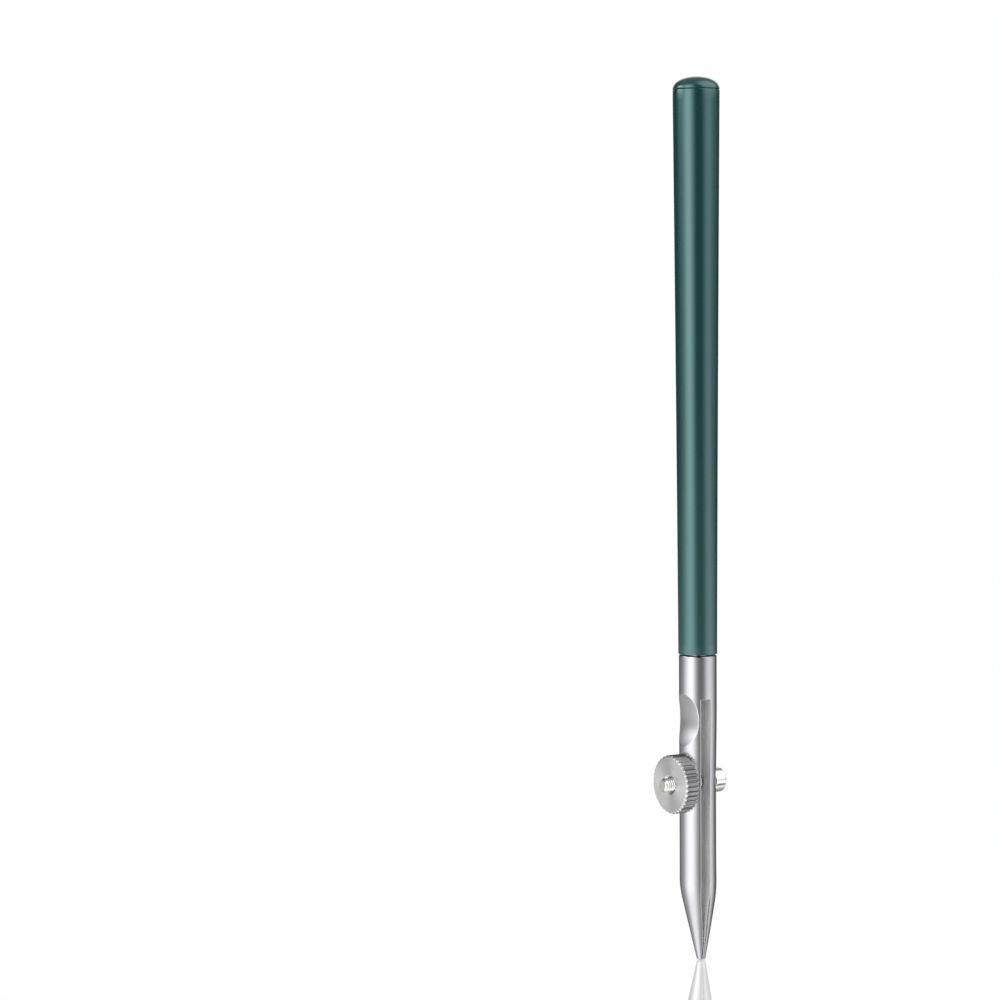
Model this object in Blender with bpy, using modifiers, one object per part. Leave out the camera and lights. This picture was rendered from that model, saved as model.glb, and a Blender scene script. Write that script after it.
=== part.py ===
"""An adjustable ruling pen: a slim drawing pen whose two steel jaws hold ink or masking fluid.

A tapered, painted metal handle carries a slotted steel nib. One jaw is rigid. The other is thinned
by a scoop near its root, so that it flexes, and a knurled thumb nut on a cross screw sets how far
apart the two tips stand.

Frame: metres, +Z up along the pen, origin on the axis where handle and nib meet, tips down. The
cross screw lies along X with its nut at -X, and the slot between the jaws lies in the Y-Z plane.
All sizes below are in millimetres.
"""

import math

import bmesh
import bpy
from mathutils import Matrix, Vector

MM = 0.001
FINE_MERGE = 1e-6

# Nib bar, from the shoulder at z = 0 down to the tips.
BAR_RADIUS = 3.5
NIB_LENGTH = 57.2
SHOULDER_CHAMFER = 0.25
TAPER_START = 41.5
TAPER_ANGLE = math.radians(11.4)
TAPER_BLEND_RADIUS = 22.0
TAPER_DRIFT_START = 43.0
TAPER_DRIFT_SLOPE = 0.040
TIP_ROUND = 0.25
TANG_RADIUS = 1.85
TANG_LENGTH = 16.0
PIN_CHAMFER = 0.3

# Slot between the jaws. It lies to the nut's side of the middle, so the sprung jaw is the thinner one.
SLOT_TOP = 8.1
RIGID_WALL = 0.30
SPRUNG_WALL = -1.45
CLOSING_START = 42.5
CLOSING_END = 54.5
TIP_GAP = 0.12
LEAN_START = 38.0
LEAN_FULL = 50.0
INNER_LEAN = 0.25

# The tightened nut bows both jaws inwards, most of all over this stretch.
BOW_FROM = 26.0
BOW_TO = 38.0
BOW_END = 50.0
RIGID_BOW = 0.22
SPRUNG_BOW = 0.03

# Scoop that thins the sprung jaw, and the flexure at its deepest point.
SCOOP_DEPTH = 1.32
SCOOP_HALF_LENGTH = 4.85
SCOOP_CROWN_RADIUS = 18.0
FLEX_DEPTH = 11.9
FLEX_GAP = 0.1

# Cross screw, size M2.5, left plain at the thread's outer diameter. Its head sits in a spot face.
SCREW_DEPTH = 23.7
SCREW_RADIUS = 1.25
SCREW_END_X = -8.2
SCREW_END_CHAMFER = 0.35
HEAD_RADIUS = 2.3
HEAD_SEAT_X = 2.6
HEAD_RIM = 2.2
HEAD_DOME = 0.85
PRESS_GAP = 0.1
RUNNING_HOLE_RADIUS = 1.5
SEAT_GAP = 0.1

# Thumb nut.
NUT_RADIUS = 5.45
NUT_THICKNESS = 2.9
NUT_FACE_CHAMFER = 0.3
NUT_BACK_CHAMFER = 0.2
NUT_COUNTERSINK = 0.45
NUT_RECESS_RADIUS = 3.9
NUT_RECESS_DEPTH = 0.9
KNURL_TEETH = 36
KNURL_DEPTH = 0.3

# Handle tube and its domed end cap.
HANDLE_LENGTH = 106.5
HANDLE_BOTTOM_RADIUS = 3.6
HANDLE_TOP_RADIUS = 4.3
HANDLE_TAPER_POWER = 1.2
HANDLE_EDGE = 0.2
HANDLE_BORE_RADIUS = 2.0
SHOULDER_GAP = 0.2
DOME_HEIGHT = 2.35
DOME_FULLNESS = 0.9
CAP_GAP = 0.1
SPIGOT_LENGTH = 7.0

ROUND_STEPS = 64
SMALL_STEPS = 40
RUNOUT = 1.0

# Finishes: colour, metallic, roughness.
GREEN_PAINT = ((0.012, 0.075, 0.068), 0.0, 0.35)
STEEL = ((0.62, 0.62, 0.64), 1.0, 0.3)
TURNED_STEEL = ((0.58, 0.58, 0.58), 1.0, 0.35)
NICKEL = ((0.74, 0.72, 0.66), 1.0, 0.2)


def finish(piece, colour, metallic, roughness):
    """Gives a piece its own material."""
    made = bpy.data.materials.new(f"{piece.name}_finish")
    made.use_nodes = True
    shader = made.node_tree.nodes["Principled BSDF"]
    shader.inputs["Base Color"].default_value = (*colour, 1.0)
    shader.inputs["Metallic"].default_value = metallic
    shader.inputs["Roughness"].default_value = roughness
    piece.data.materials.clear()
    piece.data.materials.append(made)


def link_mesh(name, mesh, collection):
    made = bpy.data.objects.new(name, mesh)
    collection.objects.link(made)
    return made


def as_mesh(source, collection):
    """The source object's evaluated shape as a plain mesh object of the same name, welded closed."""
    bpy.context.view_layer.update()
    graph = bpy.context.evaluated_depsgraph_get()
    mesh = bpy.data.meshes.new_from_object(source.evaluated_get(graph))
    mesh.transform(source.matrix_world)
    name = source.name
    bpy.data.objects.remove(source)
    work = bmesh.new()
    work.from_mesh(mesh)
    bmesh.ops.remove_doubles(work, verts=work.verts, dist=FINE_MERGE)
    work.to_mesh(mesh)
    work.free()
    return link_mesh(name, mesh, collection)


def turned(name, profile, collection, steps=ROUND_STEPS):
    """A solid turned about Z. The profile is (radius, z) in millimetres, from the top down its outer side."""
    mesh = bpy.data.meshes.new(name)
    points = [(radius * MM, 0.0, z * MM) for radius, z in profile]
    edges = [(i, i + 1) for i in range(len(points) - 1)]
    mesh.from_pydata(points, edges, [])
    made = link_mesh(name, mesh, collection)
    screw = made.modifiers.new("turn", "SCREW")
    screw.axis = "Z"
    screw.steps = steps
    screw.render_steps = steps
    screw.use_merge_vertices = True
    screw.merge_threshold = FINE_MERGE
    screw.use_smooth_shade = True
    return made


def closed_profile(profile):
    """A ring's profile, closed by coming back to its first point."""
    return profile + profile[:1]


def prism(name, outline, width, collection):
    """A solid with this X-Z outline in millimetres, width millimetres across Y."""
    curve = bpy.data.curves.new(name, "CURVE")
    curve.dimensions = "2D"
    curve.fill_mode = "BOTH"
    curve.extrude = width / 2 * MM
    spline = curve.splines.new("POLY")
    spline.points.add(len(outline) - 1)
    for point, (x, z) in zip(spline.points, outline):
        point.co = (x * MM, z * MM, 0.0, 1.0)
    spline.use_cyclic_u = True
    made = bpy.data.objects.new(name, curve)
    made.rotation_euler = (math.radians(90), 0, 0)
    collection.objects.link(made)
    return as_mesh(made, collection)


def rod_along_x(name, radius, start, end, collection):
    """A plain round cutter along X, on the screw's axis."""
    bpy.ops.mesh.primitive_cylinder_add(
        vertices=SMALL_STEPS,
        radius=radius * MM,
        depth=abs(end - start) * MM,
        location=((start + end) / 2 * MM, 0, -SCREW_DEPTH * MM),
        rotation=(0, math.radians(90), 0),
    )
    made = bpy.context.object
    made.name = name
    for owner in list(made.users_collection):
        owner.objects.unlink(made)
    collection.objects.link(made)
    return made


def boolean(target, operation, other):
    change = target.modifiers.new(f"{operation.lower()}_{other.name}", "BOOLEAN")
    change.operation = operation
    change.solver = "EXACT"
    change.object = other


def move_origin(target, place):
    """Puts the object's origin at a point in millimetres, and leaves its shape where it is."""
    offset = Vector(place) * MM
    target.data.transform(Matrix.Translation(-offset))
    target.location = offset


def bar_radius_at(depth):
    """Radius of the nib bar, at a depth below the shoulder."""
    below = depth - TAPER_START
    if below <= 0:
        return BAR_RADIUS
    blend_length = TAPER_BLEND_RADIUS * math.sin(TAPER_ANGLE)
    if below <= blend_length:
        return BAR_RADIUS - TAPER_BLEND_RADIUS + math.sqrt(TAPER_BLEND_RADIUS**2 - below**2)
    blend_drop = TAPER_BLEND_RADIUS * (1 - math.cos(TAPER_ANGLE))
    return BAR_RADIUS - blend_drop - (below - blend_length) * math.tan(TAPER_ANGLE)


def bar_depths():
    """Depths of the bar's rings: wide apart on the straight stretch, closer on the blend and the taper."""
    straight = [4.0 * i for i in range(2, 10)]
    blend = [TAPER_START + 0.6 * i for i in range(8)]
    cone = [46.5 + 1.5 * i for i in range(7)]
    return straight + blend + cone


def tip_round():
    """The rounded edge of the flat tip."""
    corner = bar_radius_at(NIB_LENGTH - TIP_ROUND)
    steps = 4
    angles = [math.radians(90) * i / steps for i in range(steps + 1)]
    return [
        (corner - TIP_ROUND * (1 - math.cos(a)), -(NIB_LENGTH - TIP_ROUND) - TIP_ROUND * math.sin(a))
        for a in angles
    ]


def bar_outline():
    """The bar's outer profile, from its shoulder chamfer to the middle of the tip."""
    top = [(BAR_RADIUS - SHOULDER_CHAMFER, 0.0), (BAR_RADIUS, -SHOULDER_CHAMFER)]
    sides = [(bar_radius_at(depth), -depth) for depth in bar_depths()]
    return top + sides + tip_round() + [(0.0, -NIB_LENGTH)]


def smoothstep(t):
    t = min(max(t, 0.0), 1.0)
    return t * t * (3 - 2 * t)


def bow_at(depth):
    """How far a jaw is bowed inwards at this depth, from 0 to 1."""
    rising = smoothstep((depth - SLOT_TOP) / (BOW_FROM - SLOT_TOP))
    falling = smoothstep((depth - BOW_TO) / (BOW_END - BOW_TO))
    return rising * (1 - falling)


def taper_drift(depth):
    """The taper is not quite true with the bar: its middle drifts towards the rigid jaw."""
    return TAPER_DRIFT_SLOPE * max(depth - TAPER_DRIFT_START, 0.0)


def rigid_shift(depth):
    return taper_drift(depth) - RIGID_BOW * bow_at(depth)


def sprung_shift(depth):
    return taper_drift(depth) + SPRUNG_BOW * bow_at(depth)


def lean_at(depth):
    """How far along its lean the rigid jaw's inner face is: 0 at the bar and at the tip, 1 between."""
    rising = smoothstep((depth - LEAN_START) / (LEAN_FULL - LEAN_START))
    falling = smoothstep((depth - LEAN_FULL) / (NIB_LENGTH - LEAN_FULL))
    return rising * (1 - falling)


def rigid_wall_x(depth):
    """X of the rigid jaw's inner face."""
    return RIGID_WALL - RIGID_BOW * bow_at(depth) - INNER_LEAN * lean_at(depth)


def sprung_wall_x(depth):
    """X of the sprung jaw's inner face: over the taper it closes on the rigid jaw's face in an easy curve."""
    share = smoothstep((depth - CLOSING_START) / (CLOSING_END - CLOSING_START))
    return SPRUNG_WALL + share * (rigid_wall_x(depth) - TIP_GAP - SPRUNG_WALL)


def wall_points(wall_x, top):
    """An inner face's line in X-Z from the given depth to below the tips."""
    straight = [top + (CLOSING_START - top) * i / 8 for i in range(8)]
    closing = [CLOSING_START + (CLOSING_END - CLOSING_START) * i / 14 for i in range(15)]
    end = [NIB_LENGTH, NIB_LENGTH + RUNOUT]
    return [(wall_x(depth), -depth) for depth in straight + closing + end]


def lean(target, shift_at):
    """Leans a jaw: each ring of the bar moves along X by shift_at(depth), in millimetres."""
    for vertex in target.data.vertices:
        vertex.co.x += shift_at(-vertex.co.z / MM) * MM


def scoop_cutter(collection):
    """A waisted roller across the bar along Y: it leaves a scoop whose floor is slightly crowned."""
    waist = (SCOOP_HALF_LENGTH**2 + SCOOP_DEPTH**2) / (2 * SCOOP_DEPTH)
    ends = 4.5
    steps = 14
    ys = [ends - 2 * ends * i / steps for i in range(steps + 1)]
    sides = [(waist + y**2 / (2 * SCOOP_CROWN_RADIUS), y) for y in ys]
    profile = [(0.0, ends)] + sides + [(0.0, -ends)]
    made = turned("scoop_cutter", profile, collection, 2 * ROUND_STEPS)
    made.rotation_euler = (math.radians(90), 0, 0)
    made.location = ((SCOOP_DEPTH - BAR_RADIUS - waist) * MM, 0, -FLEX_DEPTH * MM)
    return made


def flexure_x():
    """X of the middle of the sprung jaw's thinnest section."""
    return (SCOOP_DEPTH - BAR_RADIUS + SPRUNG_WALL) / 2


def nib_body(collection, cutters, scoop):
    """Tang, collar, rigid jaw, and the sprung jaw's root down to the flexure, in one piece of steel."""
    tang = [
        (0.0, TANG_LENGTH),
        (TANG_RADIUS - PIN_CHAMFER, TANG_LENGTH),
        (TANG_RADIUS, TANG_LENGTH - PIN_CHAMFER),
        (TANG_RADIUS, 0.0),
    ]
    made = as_mesh(turned("nib_body", tang + bar_outline(), cutters), collection)
    lean(made, rigid_shift)
    low = -(NIB_LENGTH + RUNOUT)
    far = -(BAR_RADIUS + RUNOUT)
    split = -(FLEX_DEPTH - FLEX_GAP / 2)
    root = [(far, low), (far, split), (SPRUNG_WALL, split), (SPRUNG_WALL, -SLOT_TOP)]
    outline = wall_points(rigid_wall_x, SLOT_TOP) + root
    boolean(made, "DIFFERENCE", prism("rigid_jaw_cutter", outline, 2 * (BAR_RADIUS + RUNOUT), cutters))
    boolean(made, "DIFFERENCE", scoop)
    outside = BAR_RADIUS + RUNOUT
    hole = rod_along_x("screw_hole_cutter", SCREW_RADIUS + PRESS_GAP, -1.0, outside, cutters)
    boolean(made, "DIFFERENCE", hole)
    spot_face_x = HEAD_SEAT_X - SEAT_GAP
    spot_face = rod_along_x("spot_face_cutter", HEAD_RADIUS + SEAT_GAP, spot_face_x, outside, cutters)
    boolean(made, "DIFFERENCE", spot_face)
    return made


def spring_jaw(collection, cutters, scoop):
    """The jaw that flexes, from the flexure down. Its origin is on the flexure's axis."""
    made = as_mesh(turned("spring_jaw", [(0.0, 0.0)] + bar_outline(), cutters), collection)
    lean(made, sprung_shift)
    top = FLEX_DEPTH + FLEX_GAP / 2
    far = -(BAR_RADIUS + RUNOUT)
    outside = [(far, -(NIB_LENGTH + RUNOUT)), (far, -top)]
    outline = wall_points(sprung_wall_x, top) + outside
    boolean(made, "INTERSECT", prism("sprung_jaw_blank", outline, 2 * (BAR_RADIUS + RUNOUT), cutters))
    boolean(made, "DIFFERENCE", scoop)
    hole = rod_along_x("running_hole_cutter", RUNNING_HOLE_RADIUS, 0.0, far, cutters)
    boolean(made, "DIFFERENCE", hole)
    jaw = as_mesh(made, collection)
    move_origin(jaw, (flexure_x(), 0, -FLEX_DEPTH))
    return jaw


def dome_profile(radius, height, crest, steps):
    """Profile of a shallow dome, from its crest out to its rim."""
    sphere_radius = (radius**2 + height**2) / (2 * height)
    rim_angle = math.asin(radius / sphere_radius)
    angles = [rim_angle * i / steps for i in range(steps + 1)]
    return [(sphere_radius * math.sin(a), crest - sphere_radius * (1 - math.cos(a))) for a in angles]


def clamp_screw(collection):
    """Domed cross screw, pressed into the rigid jaw: turned about Z, then laid along X, head at +X."""
    shank = [
        (HEAD_RADIUS, HEAD_SEAT_X),
        (SCREW_RADIUS, HEAD_SEAT_X),
        (SCREW_RADIUS, SCREW_END_X + SCREW_END_CHAMFER),
        (SCREW_RADIUS - SCREW_END_CHAMFER, SCREW_END_X),
        (0.0, SCREW_END_X),
    ]
    head = dome_profile(HEAD_RADIUS, HEAD_DOME, HEAD_SEAT_X + HEAD_RIM + HEAD_DOME, 6)
    made = turned("clamp_screw", head + shank, collection, SMALL_STEPS)
    made.rotation_euler = (0, math.radians(90), 0)
    made.location = (0, 0, -SCREW_DEPTH * MM)
    return made


def knurled_disc(name, collection):
    """A straight-knurled disc about Z: a cylinder whose alternate edges are drawn in to make V teeth."""
    mesh = bpy.data.meshes.new(name)
    work = bmesh.new()
    bmesh.ops.create_cone(
        work,
        cap_ends=True,
        segments=2 * KNURL_TEETH,
        radius1=NUT_RADIUS * MM,
        radius2=NUT_RADIUS * MM,
        depth=(NUT_THICKNESS + 2 * RUNOUT) * MM,
    )
    root_scale = (NUT_RADIUS - KNURL_DEPTH) / NUT_RADIUS
    tooth_angle = math.pi / KNURL_TEETH
    for vertex in work.verts:
        number = round(math.atan2(vertex.co.y, vertex.co.x) / tooth_angle)
        if number % 2:
            vertex.co.x *= root_scale
            vertex.co.y *= root_scale
    work.to_mesh(mesh)
    work.free()
    return link_mesh(name, mesh, collection)


def thumb_nut(collection, cutters):
    """Knurled nut with a countersunk outer face and a recessed inner face, its origin on the screw's axis."""
    half = NUT_THICKNESS / 2
    bore = RUNNING_HOLE_RADIUS
    profile = [
        (bore + NUT_COUNTERSINK, half),
        (NUT_RADIUS - NUT_FACE_CHAMFER, half),
        (NUT_RADIUS, half - NUT_FACE_CHAMFER),
        (NUT_RADIUS, -half + NUT_BACK_CHAMFER),
        (NUT_RADIUS - NUT_BACK_CHAMFER, -half),
        (NUT_RECESS_RADIUS, -half),
        (NUT_RECESS_RADIUS, -half + NUT_RECESS_DEPTH),
        (bore, -half + NUT_RECESS_DEPTH),
        (bore, half - NUT_COUNTERSINK),
    ]
    blank = turned("nut_blank", closed_profile(profile), cutters, 2 * KNURL_TEETH)
    made = knurled_disc("thumb_nut", collection)
    boolean(made, "INTERSECT", blank)
    centre = -(BAR_RADIUS + SEAT_GAP + half)
    for piece in (made, blank):
        piece.rotation_euler = (0, math.radians(-90), 0)
        piece.location = (centre * MM, 0, -SCREW_DEPTH * MM)
    return made


def handle_radius_at(height):
    """Outer radius of the handle, at a height above its lower end."""
    share = height / (HANDLE_LENGTH - DOME_HEIGHT)
    return HANDLE_BOTTOM_RADIUS + (HANDLE_TOP_RADIUS - HANDLE_BOTTOM_RADIUS) * share**HANDLE_TAPER_POWER


def handle_barrel(collection):
    """Tapered tube: the tang sits in its lower end and the cap's spigot in its upper end."""
    top = HANDLE_LENGTH - DOME_HEIGHT - CAP_GAP
    bottom = SHOULDER_GAP
    rings = 10
    heights = [top - (top - bottom - HANDLE_EDGE) * i / rings for i in range(rings + 1)]
    profile = [(HANDLE_BORE_RADIUS, top)]
    profile += [(handle_radius_at(height), height) for height in heights]
    profile += [(handle_radius_at(0) - HANDLE_EDGE, bottom), (HANDLE_BORE_RADIUS, bottom)]
    return turned("handle_barrel", closed_profile(profile), collection)


def cap_point(base, turn):
    """Point of the end cap's dome, as (radius, Z), at this angle from the pen's axis."""
    rise = DOME_HEIGHT * math.cos(turn) ** DOME_FULLNESS
    return (HANDLE_TOP_RADIUS * math.sin(turn), base + rise)


def end_cap(collection):
    """Domed cap whose spigot is pressed into the top of the handle."""
    base = HANDLE_LENGTH - DOME_HEIGHT
    turns = [math.radians(7.5) * i for i in range(12)]
    dome = [cap_point(base, turn) for turn in turns] + [(HANDLE_TOP_RADIUS, base)]
    spigot_radius = HANDLE_BORE_RADIUS - PRESS_GAP
    spigot = [
        (spigot_radius, base),
        (spigot_radius, base - SPIGOT_LENGTH + PIN_CHAMFER),
        (spigot_radius - PIN_CHAMFER, base - SPIGOT_LENGTH),
        (0.0, base - SPIGOT_LENGTH),
    ]
    return turned("end_cap", dome + spigot, collection)


def hide_helpers(cutters):
    for helper in cutters.objects:
        helper.hide_render = True
        helper.display_type = "WIRE"


def main():
    for old in list(bpy.data.objects):
        bpy.data.objects.remove(old)
    pen = bpy.data.collections.new("ruling_pen")
    cutters = bpy.data.collections.new("cutters")
    for collection in (pen, cutters):
        bpy.context.scene.collection.children.link(collection)

    scoop = scoop_cutter(cutters)
    finish(handle_barrel(pen), *GREEN_PAINT)
    finish(end_cap(pen), *GREEN_PAINT)
    finish(nib_body(pen, cutters, scoop), *STEEL)
    finish(spring_jaw(pen, cutters, scoop), *STEEL)
    finish(clamp_screw(pen), *NICKEL)
    finish(thumb_nut(pen, cutters), *TURNED_STEEL)
    hide_helpers(cutters)


main()
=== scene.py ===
"""Looks for an adjustable ruling pen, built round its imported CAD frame.

Sizes are in millimetres, in the part's own frame: +Z up the pen, tips down, nut at -X. Each
builder turns them into metres with MM. Depths are measured down from the shoulder where the
handle meets the nib.
"""

import math

import bmesh
import bpy
from mathutils import Matrix, Vector
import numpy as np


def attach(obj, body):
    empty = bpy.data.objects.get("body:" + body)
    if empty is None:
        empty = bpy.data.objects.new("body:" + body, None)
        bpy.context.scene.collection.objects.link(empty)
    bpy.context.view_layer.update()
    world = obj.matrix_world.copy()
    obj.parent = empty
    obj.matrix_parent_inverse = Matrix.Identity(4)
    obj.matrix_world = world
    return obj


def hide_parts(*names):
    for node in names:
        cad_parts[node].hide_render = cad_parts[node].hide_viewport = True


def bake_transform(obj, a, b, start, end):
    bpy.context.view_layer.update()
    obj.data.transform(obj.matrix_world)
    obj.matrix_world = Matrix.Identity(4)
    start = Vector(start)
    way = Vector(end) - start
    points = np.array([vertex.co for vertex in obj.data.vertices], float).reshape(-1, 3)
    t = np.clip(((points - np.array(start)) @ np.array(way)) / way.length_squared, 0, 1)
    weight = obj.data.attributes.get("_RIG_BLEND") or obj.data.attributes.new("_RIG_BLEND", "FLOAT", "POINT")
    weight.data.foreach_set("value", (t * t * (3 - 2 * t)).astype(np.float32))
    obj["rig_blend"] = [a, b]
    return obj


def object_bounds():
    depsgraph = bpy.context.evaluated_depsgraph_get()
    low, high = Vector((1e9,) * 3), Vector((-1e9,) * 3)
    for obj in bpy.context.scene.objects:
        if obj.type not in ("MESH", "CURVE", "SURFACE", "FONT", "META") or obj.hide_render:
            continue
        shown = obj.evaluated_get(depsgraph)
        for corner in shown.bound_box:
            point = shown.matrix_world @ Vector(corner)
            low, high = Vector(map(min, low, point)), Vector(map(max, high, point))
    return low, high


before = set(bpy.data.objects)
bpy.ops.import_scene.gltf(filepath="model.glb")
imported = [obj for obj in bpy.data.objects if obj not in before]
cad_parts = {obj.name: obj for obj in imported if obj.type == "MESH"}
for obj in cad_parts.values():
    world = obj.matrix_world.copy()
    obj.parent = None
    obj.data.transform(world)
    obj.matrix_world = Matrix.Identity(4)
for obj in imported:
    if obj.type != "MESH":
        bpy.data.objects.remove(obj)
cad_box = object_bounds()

MM = 0.001

# Nib bar and taper, the same sizes as the solids.
BAR_RADIUS = 3.5
NIB_LENGTH = 57.2
SHOULDER_CHAMFER = 0.12
TAPER_START = 41.5
TAPER_ANGLE = math.radians(11.4)
TAPER_BLEND_RADIUS = 22.0
TAPER_DRIFT_START = 43.0
TAPER_DRIFT_SLOPE = 0.040
TIP_ROUND = 0.25
TANG_RADIUS = 1.85
TANG_LENGTH = 16.0

# Slot, and the bow that the tightened nut gives both jaws.
SLOT_TOP = 8.1
RIGID_WALL = 0.30
SPRUNG_WALL = -1.45
CLOSING_START = 42.5
CLOSING_END = 54.5
TIP_GAP = 0.12
LEAN_START = 38.0
LEAN_FULL = 50.0
INNER_LEAN = 0.25
BOW_FROM = 26.0
BOW_TO = 38.0
BOW_END = 50.0
RIGID_BOW = 0.22
SPRUNG_BOW = 0.03
SPRUNG_ARRIS = 0.40
RIGID_ARRIS = 0.16
SLOT_END_ARRIS = 0.16

# Scoop and flexure.
SCOOP_DEPTH = 1.32
SCOOP_HALF_LENGTH = 4.85
SCOOP_CROWN_RADIUS = 18.0
SCOOP_EDGE = 0.1
FLEX_DEPTH = 11.9
FLEX_SPREAD = 2.6

# Cross screw.
SCREW_DEPTH = 23.7
SCREW_RADIUS = 1.25
SCREW_END_X = -8.2
THREAD_PITCH = 0.45
THREAD_DEPTH = 0.26
THREAD_START_X = 0.2
HEAD_RADIUS = 2.3
HEAD_SEAT_X = 2.6
HEAD_RIM = 2.2
HEAD_DOME = 0.85
SPOT_FACE_X = 2.5
SPOT_FACE_RADIUS = 2.4
HEAD_EDGE = 0.12

# Thumb nut.
NUT_RADIUS = 5.45
NUT_THICKNESS = 2.9
NUT_FACE_EDGE = 0.3
NUT_BACK_EDGE = 0.16
NUT_BORE = 1.5
NUT_COUNTERSINK = 0.35
NUT_RECESS_RADIUS = 3.9
NUT_RECESS_DEPTH = 0.9
NUT_SEAT_X = -3.6
KNURL_TEETH = 36
KNURL_DEPTH = 0.3

# Handle.
HANDLE_LENGTH = 106.5
HANDLE_BOTTOM_RADIUS = 3.6
HANDLE_TOP_RADIUS = 4.3
HANDLE_TAPER_POWER = 1.2
SHOULDER_GAP = 0.27
HANDLE_BORE_RADIUS = 2.0
DOME_HEIGHT = 2.35
DOME_FULLNESS = 0.9
CAP_SEAM = 0.1
SPIGOT_LENGTH = 7.0

# Camera, as seen from the pen: which way round it stands, how far off, and how high above the shoulder.
CAMERA_AZIMUTH = math.radians(-36.5)
CAMERA_DISTANCE = 514.0
CAMERA_HEIGHT = 60.4
CAMERA_TURN = math.radians(4.07)
CAMERA_PITCH = math.radians(3.5)
CAMERA_ROLL = math.radians(-0.42)
LENS = 100.0


# ---------------------------------------------------------------- mesh helpers


def new_piece(name, work, body, slot, *stands_for):
    """Turns a finished bmesh into a smooth-shaded piece that rides on a body."""
    bmesh.ops.recalc_face_normals(work, faces=work.faces)
    mesh = bpy.data.meshes.new(name)
    work.to_mesh(mesh)
    work.free()
    mesh.transform(Matrix.Scale(MM, 4))
    mesh.shade_smooth()
    piece = bpy.data.objects.new(name, mesh)
    bpy.context.scene.collection.objects.link(piece)
    if body:
        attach(piece, body)
    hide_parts(*stands_for)
    return piece


def sharpen(piece, degrees):
    piece.data.set_sharp_from_angle(angle=math.radians(degrees))


def skin(work, rows, closed=True):
    """Quads between rows of vertices."""
    for upper, lower in zip(rows, rows[1:]):
        count = len(upper)
        for i in range(count if closed else count - 1):
            j = (i + 1) % count
            corners = []
            for vertex in (upper[i], upper[j], lower[j], lower[i]):
                if vertex not in corners:
                    corners.append(vertex)
            if len(corners) > 2:
                work.faces.new(corners)


def lathe(profile, segments, radius_at=None):
    """A turned bmesh about Z. The profile is (radius, z), and radius_at(radius, z, turn) may modulate it."""
    work = bmesh.new()
    rows = []
    for radius, z in profile:
        if radius == 0:
            pole = work.verts.new((0, 0, z))
            rows.append([pole] * segments)
            continue
        row = []
        for i in range(segments):
            turn = 2 * math.pi * i / segments
            r = radius_at(radius, z, turn) if radius_at else radius
            row.append(work.verts.new((r * math.cos(turn), r * math.sin(turn), z)))
        rows.append(row)
    skin(work, rows)
    return work


def fillet(before, corner, after, steps):
    """Points round a corner, from before to after, on a smooth curve that stays inside it."""
    found = []
    for i in range(steps + 1):
        t = i / steps
        weights = ((1 - t) ** 2, 2 * t * (1 - t), t**2)
        along = zip(before, corner, after)
        found.append(tuple(sum(w * v for w, v in zip(weights, values)) for values in along))
    return found


def soften(profile, sizes, steps=4):
    """Rounds the named corners of a profile: sizes is {index: radius}."""
    found = []
    for i, point in enumerate(profile):
        if i not in sizes:
            found.append(point)
            continue
        here = Vector(point)
        size = sizes[i]
        before = here + (Vector(profile[i - 1]) - here).normalized() * size
        after = here + (Vector(profile[(i + 1) % len(profile)]) - here).normalized() * size
        found += fillet(before, here, after, steps)
    return found


def smoothstep(t):
    t = min(max(t, 0.0), 1.0)
    return t * t * (3 - 2 * t)


def spread(first, last, count):
    """Evenly spaced numbers from first to last, ends included."""
    return [first + (last - first) * i / (count - 1) for i in range(count)]


# ---------------------------------------------------------------- nib


def bar_radius_at(depth):
    below = depth - TAPER_START
    if below <= 0:
        return BAR_RADIUS
    blend_length = TAPER_BLEND_RADIUS * math.sin(TAPER_ANGLE)
    if below <= blend_length:
        return BAR_RADIUS - TAPER_BLEND_RADIUS + math.sqrt(TAPER_BLEND_RADIUS**2 - below**2)
    blend_drop = TAPER_BLEND_RADIUS * (1 - math.cos(TAPER_ANGLE))
    radius = BAR_RADIUS - blend_drop - (below - blend_length) * math.tan(TAPER_ANGLE)
    into_round = depth - (NIB_LENGTH - TIP_ROUND)
    if into_round > 0:
        radius -= TIP_ROUND - math.sqrt(max(TIP_ROUND**2 - into_round**2, 0.0))
    return radius


def bow_at(depth):
    rising = smoothstep((depth - SLOT_TOP) / (BOW_FROM - SLOT_TOP))
    falling = smoothstep((depth - BOW_TO) / (BOW_END - BOW_TO))
    return rising * (1 - falling)


def taper_drift(depth):
    return TAPER_DRIFT_SLOPE * max(depth - TAPER_DRIFT_START, 0.0)


def rigid_shift(depth):
    return taper_drift(depth) - RIGID_BOW * bow_at(depth)


def sprung_shift(depth):
    return taper_drift(depth) + SPRUNG_BOW * bow_at(depth)


def lean_at(depth):
    """How far along its lean the rigid jaw's inner face is: 0 at the bar and at the tip, 1 between."""
    rising = smoothstep((depth - LEAN_START) / (LEAN_FULL - LEAN_START))
    falling = smoothstep((depth - LEAN_FULL) / (NIB_LENGTH - LEAN_FULL))
    return rising * (1 - falling)


def rigid_wall_x(depth):
    """X of the rigid jaw's inner face."""
    return RIGID_WALL - RIGID_BOW * bow_at(depth) - INNER_LEAN * lean_at(depth)


def sprung_wall_x(depth):
    share = smoothstep((depth - CLOSING_START) / (CLOSING_END - CLOSING_START))
    return SPRUNG_WALL + share * (rigid_wall_x(depth) - TIP_GAP - SPRUNG_WALL)


def scoop_floor_x(y, depth):
    """X of the scoop's floor, for the roller that would cut it."""
    waist = (SCOOP_HALF_LENGTH**2 + SCOOP_DEPTH**2) / (2 * SCOOP_DEPTH)
    radius = waist + y**2 / (2 * SCOOP_CROWN_RADIUS)
    middle = SCOOP_DEPTH - BAR_RADIUS - waist
    return middle + math.sqrt(max(radius**2 - (depth - FLEX_DEPTH) ** 2, 0.0))


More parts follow.
